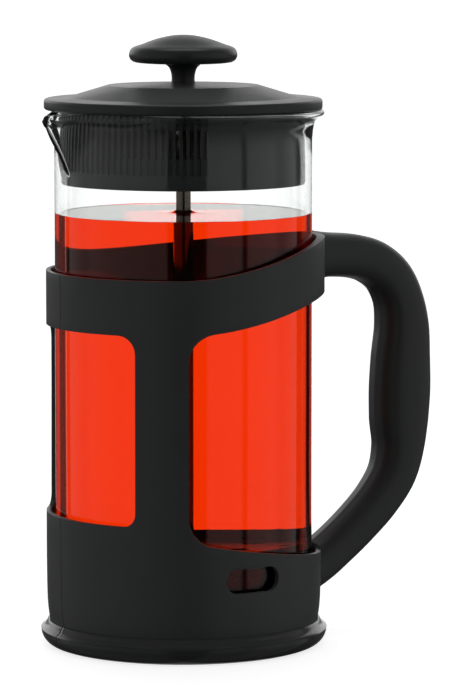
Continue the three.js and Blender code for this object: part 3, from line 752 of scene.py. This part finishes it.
# %% Holder rows
FOOT_OUT = [(30, 8.6), (40, 8.6), (50.3, 8.6), (51, 9.2), (51.4, 11), (51.8, 14), (52.05, 17.5), (52.15, 21)]
FOOT_IN = [(30, 11.3), (40, 11.3), (46.8, 11.3), (48.6, 12.8), (49.4, 14.5), (50, 16.5), (50.3, 18.5),
           (50.4, 21)]
BLOCKS = {"below slot": 2, "slot": 5, "above slot": 3, "window": 14, "band": 6}
WALL_IN = 50.4
MARK_GAP = 0.35  # half the least height between the slot's marks
MARKS_OPEN_OVER = 12  # mm from the slot's end to where its marks stand full height again


def slot_half_height(angle):
    """Half the height between the slot's marks: a rounded slot at its own angle, and plain wall elsewhere."""
    from_end = (slot_half - abs(from_handle(angle) - SLOT_ANGLE)) * PER_DEGREE
    if from_end >= 0:
        return max(MARK_GAP, math.sqrt(SLOT_HALF_HEIGHT ** 2 - max(0, SLOT_HALF_HEIGHT - from_end) ** 2))
    return MARK_GAP + (SLOT_HALF_HEIGHT - MARK_GAP) * smoothstep(-from_end, 0, MARKS_OPEN_OVER)


def window_edges(angle):
    """The cup's and the band's edge at an angle, with the window's corners rounded."""
    away = from_handle(angle)
    low, high = cup_lip(angle), band_bottom(angle)
    if away <= SIDE_STRUT:
        (foot, head), edge = CORNERS["side"], (SIDE_STRUT - away) * PER_DEGREE
    elif away >= SPOUT_STRUT:
        (foot, head), edge = CORNERS["spout"], (away - SPOUT_STRUT) * PER_DEGREE
    else:
        share = (away - SIDE_STRUT) / (SPOUT_STRUT - SIDE_STRUT)
        foot = CORNERS["side"][0] * (1 - share) + CORNERS["spout"][0] * share
        head = CORNERS["side"][1] * (1 - share) + CORNERS["spout"][1] * share
        edge = 0
    return low + corner_rise(foot, edge), high - corner_rise(head, edge)


def marks(angle):
    low, high = window_edges(angle)
    half = slot_half_height(angle)
    return [FOOT_OUT[-1][1], SLOT_Z - half, SLOT_Z + half, low, high, band_top(angle)]


def holder_point(i, j):
    angle = columns[i]
    seam = SEAM_DEPTH if abs(angle - 180) < 0.01 else 0
    if j < len(FOOT_OUT):
        r, z = FOOT_OUT[j]
        return polar(angle, r - (seam if j > 2 else 0), z)
    step = j - len(FOOT_OUT) + 1
    for (low, high), count in zip(zip(marks(angle), marks(angle)[1:]), BLOCKS.values()):
        if step <= count:
            z = low + (high - low) * step / count
            return polar(angle, wall_radius(angle, z) - seam, z)
        step -= count


def block_of(j):
    """The block that the cell above row j is in."""
    step = j - len(FOOT_OUT) + 1
    for name, count in BLOCKS.items():
        if step < count:
            return name if step >= 0 else "foot"
        step -= count


def is_open(i, j):
    """Whether a cell of the grid is left out: it lies in a window or in the slot."""
    middle = (columns[i] + columns[i + 1]) / 2
    away = from_handle(middle)
    if block_of(j) == "window":
        return away < SIDE_STRUT or away > SPOUT_STRUT
    return block_of(j) == "slot" and abs(away - SLOT_ANGLE) < slot_half


def thicken(bm, inner):
    """Extrudes a sheet to a closed wall: inner says where a point in mm goes. Gives back the outer rim."""
    rim = [edge for edge in bm.edges if edge.is_boundary]
    sheet = bm.faces[:] + bm.edges[:] + bm.verts[:]
    grown = bmesh.ops.extrude_face_region(bm, geom=sheet, use_keep_orig=True)
    for vert in grown["geom"]:
        if isinstance(vert, bmesh.types.BMVert):
            vert.co = Vector(inner(*(vert.co / MM))) * MM
    bmesh.ops.recalc_face_normals(bm, faces=bm.faces)
    return rim


def soften(bm, edges, width, segments):
    bmesh.ops.bevel(bm, geom=edges, offset=width * MM, offset_type="OFFSET", segments=segments, profile=0.5,
                    affect="EDGES", clamp_overlap=True, material=-1)


def sharp_edges(bm, degrees):
    limit = math.radians(degrees)
    return [edge for edge in bm.edges if edge.is_manifold and edge.calc_face_angle(0) > limit]


# %% Holder
def holder_inside(x, y, z):
    if z >= FOOT_OUT[-1][1] - 0.01:
        return polar(math.degrees(math.atan2(y, x)), WALL_IN, z)
    r = math.hypot(x, y)
    nearest = min(range(len(FOOT_OUT)), key=lambda k: abs(FOOT_OUT[k][0] - r) + abs(FOOT_OUT[k][1] - z))
    inner_point = FOOT_IN[nearest]
    return polar(math.degrees(math.atan2(y, x)), *inner_point)


rows_up = len(FOOT_OUT) - 1 + sum(BLOCKS.values())
bm = wrapped(len(columns) - 1, rows_up, holder_point, is_open)
bmesh.ops.remove_doubles(bm, verts=bm.verts, dist=0.02 * MM)
rim = thicken(bm, holder_inside)
soften(bm, rim, 0.9, 4)
soften(bm, sharp_edges(bm, 55), 0.3, 2)
piece("moulded_holder", bm, satin_holder, "holder", ["frame"], sharp=35)

# %% [markdown]
# ## The base
#
# The base is a turned bead that the holder stands in. Its upper side is a hollow ledge, which catches the
# light of the screen as a bright line at both ends. The mould closed at the spout side and left a fine seam
# there. The seam is a notch a fifth of a millimetre deep, and the columns beside it are drawn close to it.

# %% Base
BEAD_OUT = [(49.8, 0), (51.8, 0.8), (53.4, 2.4), (54.3, 4.3), (54.58, 6.2), (53.6, 6.7), (52.7, 7.7),
            (52.1, 9)]
BASE_STEPS = 360
SEAM_REACH = 4  # degrees
BASE_SEAM_DEPTH = 0.2

bead = [tuple(p) for p in through(BEAD_OUT[:5], 4)] + [tuple(p) for p in through(BEAD_OUT[4:], 4)][1:]
seat_r = 51.3
seat = [(51.7, 9.6), (seat_r, 9.6), (seat_r, 8.3), (48.5, 8.3), (48.5, 4.6), (0, 4.6)]
bm = turned([(0, 0), *bead, *seat], BASE_STEPS, closes=False)
for vert in bm.verts:
    angle = math.degrees(math.atan2(vert.co.y, vert.co.x))
    r = math.hypot(vert.co.x, vert.co.y) / MM
    beside = 180 - abs(angle)
    if r > seat_r and beside < 0.01:
        vert.co *= 1 - BASE_SEAM_DEPTH / r
    elif r > seat_r and beside < SEAM_REACH:
        close = math.copysign(180 - beside ** 2 / SEAM_REACH, angle)
        vert.co = Vector(polar(close, r, vert.co.z / MM)) * MM
piece("polished_base", bm, gloss_base, "holder", ["base"], sharp=50)

# %% [markdown]
# ## The handle
#
# The grip swells towards the palm and thins at its ends. Its section is a superellipse: rounder than a box
# and fuller than an ellipse, which fills the hand. It is lofted along a smooth line through a few stations,
# each with its own depth and width. Both ends are cut to the round of the holder that they sit on. A hair of
# flash runs down the middle of its inner face, where the two halves of the mould met.

# %% Handle
# x, z, half depth in the plane of the handle, half width across it, all in mm
HANDLE_LINE = [(50, 146.1, 10.2, 11), (56, 146, 9.3, 10.4), (64, 145.7, 8.5, 9.8), (74, 144.7, 8.5, 9.6),
               (82.6, 141.9, 8.8, 9.6), (89.8, 136.4, 8.8, 9.7), (94.5, 127.8, 8.9, 9.9),
               (96.4, 117, 9.8, 10.3), (96, 104, 10.9, 10.6), (95.7, 92, 11.4, 10.7), (95.3, 80, 10.9, 10.6),
               (94.9, 69, 9.3, 10.3), (92.2, 58.7, 8.6, 9.8), (85.6, 49.1, 8.2, 9.4), (76.6, 40.3, 8, 9.2),
               (66.6, 32.2, 7.9, 9.2), (58.2, 26.5, 8.1, 9.6), (50, 22.8, 9, 10.2)]
FLASH, FLASH_HALF_WIDTH = 0.16, 0.03  # mm proud, and radians of the section on each side
ROUNDNESS = 2.7
GRIP_SIDES = 48
UPPER_SEAT, LOWER_SEAT = 53.9, 52.6

middles = through([(x, z) for x, z, a, b in HANDLE_LINE], 6)
depths = through([(a, b) for x, z, a, b in HANDLE_LINE], 6)


def around(k):
    """The angle of a side of the section. The two sides next to the inner middle are drawn close to it."""
    middle = GRIP_SIDES // 2
    if abs(k - middle) == 1:
        return math.pi + (k - middle) * FLASH_HALF_WIDTH
    return 2 * math.pi * k / GRIP_SIDES


def grip_point(i, k):
    before, after = middles[max(0, i - 1)], middles[min(len(middles) - 1, i + 1)]
    ahead = (after - before).normalized()
    k = k % GRIP_SIDES
    c, s = math.cos(around(k)), math.sin(around(k))
    flash = FLASH if k == GRIP_SIDES // 2 else 0
    across = (depths[i].x + flash) * math.copysign(abs(c) ** (2 / ROUNDNESS), c)
    along = depths[i].y * math.copysign(abs(s) ** (2 / ROUNDNESS), s)
    x, z = middles[i].x - ahead.y * across, middles[i].y + ahead.x * across
    seat = UPPER_SEAT if z > 90 else LOWER_SEAT
    return (max(x, math.sqrt(seat ** 2 - along ** 2)), along, z)


bm = wrapped(len(middles) - 1, GRIP_SIDES, grip_point)
bmesh.ops.remove_doubles(bm, verts=bm.verts, dist=0.01 * MM)
bmesh.ops.holes_fill(bm, edges=[edge for edge in bm.edges if edge.is_boundary], sides=0)
bmesh.ops.recalc_face_normals(bm, faces=bm.faces)
soften(bm, [edge for edge in sharp_edges(bm, 55) if abs(edge.verts[0].co.x) < 0.056], 0.5, 2)
piece("moulded_grip", bm, satin_holder, "holder", ["handle"], sharp=45)

# %% [markdown]
# ## The lid
#
# The lid is a flat flange, a cone and a level deck, in one wall of nearly even thickness, as moulded plastic
# wants: it cools evenly and doesn't sink. Its underside carries a socket for the rod's guide.

# %% Lid
lid_low, lid_high = span("lid_cap")
deck, flange_low = lid_high.z, lid_low.z
flange_top = flange_low + 2.9
guide_hole, guide_flange, guide_seat = 4.7, 8.5, 207.5
corners = [(46.9, flange_low, 0.2), (52, flange_low, 0.4), (52, flange_top, 0.4), (42.9, flange_top, 2.2),
           (28.9, deck, 1.4), (guide_hole, deck, 0.4), (guide_hole, guide_seat, 0),
           (guide_flange, guide_seat, 0), (guide_flange, deck - 2, 0), (28, deck - 2, 1),
           (40.4, 205.3, 1), (46.9, flange_low + 0.9, 0)]
piece("moulded_lid", turned(rounded(corners), 180), grained_lid, "lid", ["lid_cap"])

# %% [markdown]
# The skirt hangs inside the beaker and centres the lid. On the spout side it is grooved and slotted, so that
# the drink pours through it when the lid is turned that way. The grooves are columns of the bent grid set
# back by a millimetre, and the slots are cells left out of them, like the holder's windows.

# %% Strainer skirt
SKIRT_OUT, SKIRT_IN = 46.1, 44.5
SLOT_PITCH, SLOT_WIDTH = 3.29, 1.62  # degrees
SKIRT_ROWS = [175.7, 176.3, 178.5, 181.4, 181.6, 187.5, 198, 202.2, 202.4, 203.3, 204.7]
GROOVE_ROWS = range(4, 8)
THROUGH_ROW = 5
GROOVE_DEPTH = 1
SLOTS_EACH_SIDE = 22
PLAIN_COLUMNS = 72
LEAD_IN = 0.35  # how far the lowest edge is drawn in, to guide the skirt into the glass
COLLAR_FROM, COLLAR = 203, 1  # the height above which the wall is thicker inwards, and by how much

slot_edges = []
for number in range(-SLOTS_EACH_SIDE, SLOTS_EACH_SIDE + 1):
    middle = 180 + number * SLOT_PITCH
    slot_edges += [middle + share * SLOT_WIDTH for share in (-0.55, -0.5, 0.5, 0.55)]
gap = 360 + slot_edges[0] - slot_edges[-1]
plain = [slot_edges[-1] + gap * i / PLAIN_COLUMNS for i in range(1, PLAIN_COLUMNS + 1)]
skirt_columns = slot_edges + plain


def skirt_point(i, j):
    in_groove = j in GROOVE_ROWS and i < len(slot_edges) and i % 4 in (1, 2)
    sunk = GROOVE_DEPTH if in_groove else LEAD_IN if j == 0 else 0
    return polar(skirt_columns[i], SKIRT_OUT - sunk, SKIRT_ROWS[j])


def is_slot(i, j):
    return j == THROUGH_ROW and i < len(slot_edges) and i % 4 == 1


def skirt_inside(x, y, z):
    return polar(math.degrees(math.atan2(y, x)), SKIRT_IN - (COLLAR if z > COLLAR_FROM else 0), z)


bm = wrapped(len(skirt_columns) - 1, len(SKIRT_ROWS) - 1, skirt_point, is_slot)
bmesh.ops.remove_doubles(bm, verts=bm.verts, dist=0.02 * MM)
rim = thicken(bm, skirt_inside)
soften(bm, rim, 0.22, 2)
piece("strainer_skirt", bm, strainer_plastic, "lid", ["lid_skirt"], sharp=50)

# %% [markdown]
# ## The plunger
#
# The knob is a mushroom on a waisted neck. Its outline is a smooth curve through a few points, because a
# chain of plain arcs would show a bright break in its reflection wherever two of them met.

# %% Knob
knob_low, knob_high = span("knob")
neck = [(4.5, knob_low.z), (4.35, 215.2), (4.6, 217.3), (5.25, 219), (6.25, 220), (7.55, 220.7),
        (9.35, 220.9)]
cap = [(16, 220.9), (18.7, 221.35), (20, 222.4), (20.45, 224.2), (19.6, 226.3), (15, 228.2), (9.3, 230.2),
       (3.6, 231.35), (0, knob_high.z)]
hole_r, insert_r = 2.55, 3.25
socket = [(0, 223.3), (insert_r, 223.3), (insert_r, 216.2), (hole_r, 216.2), (hole_r, knob_low.z)]
outline = socket + [tuple(p) for p in through(neck, 4)] + [tuple(p) for p in through(cap, 5)]
outline[-1] = (0, knob_high.z)
piece("moulded_knob", turned(outline, 96, closes=False), grained_lid, "plunger", ["knob"])

# %% Rod
rod_low, rod_high = span("plunger_rod")
corners = [(0, rod_low.z, 0), (ROD_R, rod_low.z, 0.4), (ROD_R, rod_high.z, 0.4), (0, rod_high.z, 0)]
bm = turned(rounded(corners), 48, closes=False)
piece("ground_rod", bm, ground_steel, "plunger", ["plunger_rod"])

# %% [markdown]
# The filter seals against the glass with a spring: a wire wound round and round a ring, so that it gives
# where the glass is out of round. Its turns are worked out by a formula: a point circles the ring's own
# wire circle as it goes round the ring, and the wire's section stands square to that path.

# %% Filter spring and screen
RING_R, WIND_R, WIRE_R, TURNS = 44.3, 1.5, 0.42, 60
ring_z = (span("filter_coil")[0].z + span("filter_coil")[1].z) / 2
STEPS_A_TURN, WIRE_SIDES = 14, 6


def spring_point(i, k):
    around_ring = 2 * math.pi * i / (TURNS * STEPS_A_TURN)
    wound = around_ring * TURNS
    outwards = Vector((math.cos(around_ring), math.sin(around_ring), 0))
    onwards = Vector((-math.sin(around_ring), math.cos(around_ring), 0))
    normal = outwards * math.cos(wound) + up * math.sin(wound)
    across = up * math.cos(wound) - outwards * math.sin(wound)
    path = (onwards * RING_R + across * WIND_R * TURNS).normalized()
    side = path.cross(normal)
    turn = 2 * math.pi * k / WIRE_SIDES
    middle = outwards * RING_R + up * ring_z + normal * WIND_R
    return middle + (normal * math.cos(turn) + side * math.sin(turn)) * WIRE_R


bm = wrapped(TURNS * STEPS_A_TURN, WIRE_SIDES, spring_point)
bmesh.ops.remove_doubles(bm, verts=bm.verts, dist=0.02 * MM)
bmesh.ops.recalc_face_normals(bm, faces=bm.faces)
piece("wound_spring", bm, rolled_steel, "filter", ["filter_coil"], sharp=80)

SCREEN_HOLE, SCREEN_LOW, SCREEN_HIGH, SCREEN_FILLET = 2.55, 34.75, 35.05, 0.1
screen_r = span("filter_mesh")[1].x - 0.1
corners = [(SCREEN_HOLE, SCREEN_LOW, 0), (screen_r, SCREEN_LOW, SCREEN_FILLET),
           (screen_r, SCREEN_HIGH, SCREEN_FILLET), (SCREEN_HOLE, SCREEN_HIGH, 0)]
bm = turned(rounded(corners), 120)
piece("woven_screen", bm, woven_steel, "filter", ["filter_mesh"])

# %% [markdown]
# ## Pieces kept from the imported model
#
# The plates, the guide, the insert and the screws have their true shape already. They keep it, and only
# change their finish.

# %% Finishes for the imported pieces
KEPT = {"spiral_plate": rolled_steel, "cross_plate": rolled_steel, "rod_collar": rolled_steel,
        "rod_guide": strainer_plastic, "knob_insert": turned_brass,
        "handle_screw_upper": zinc_plate, "handle_screw_lower": zinc_plate}
for name, finish in KEPT.items():
    nodes[name].material_slots[0].material = finish
print("refinished", ", ".join(KEPT))
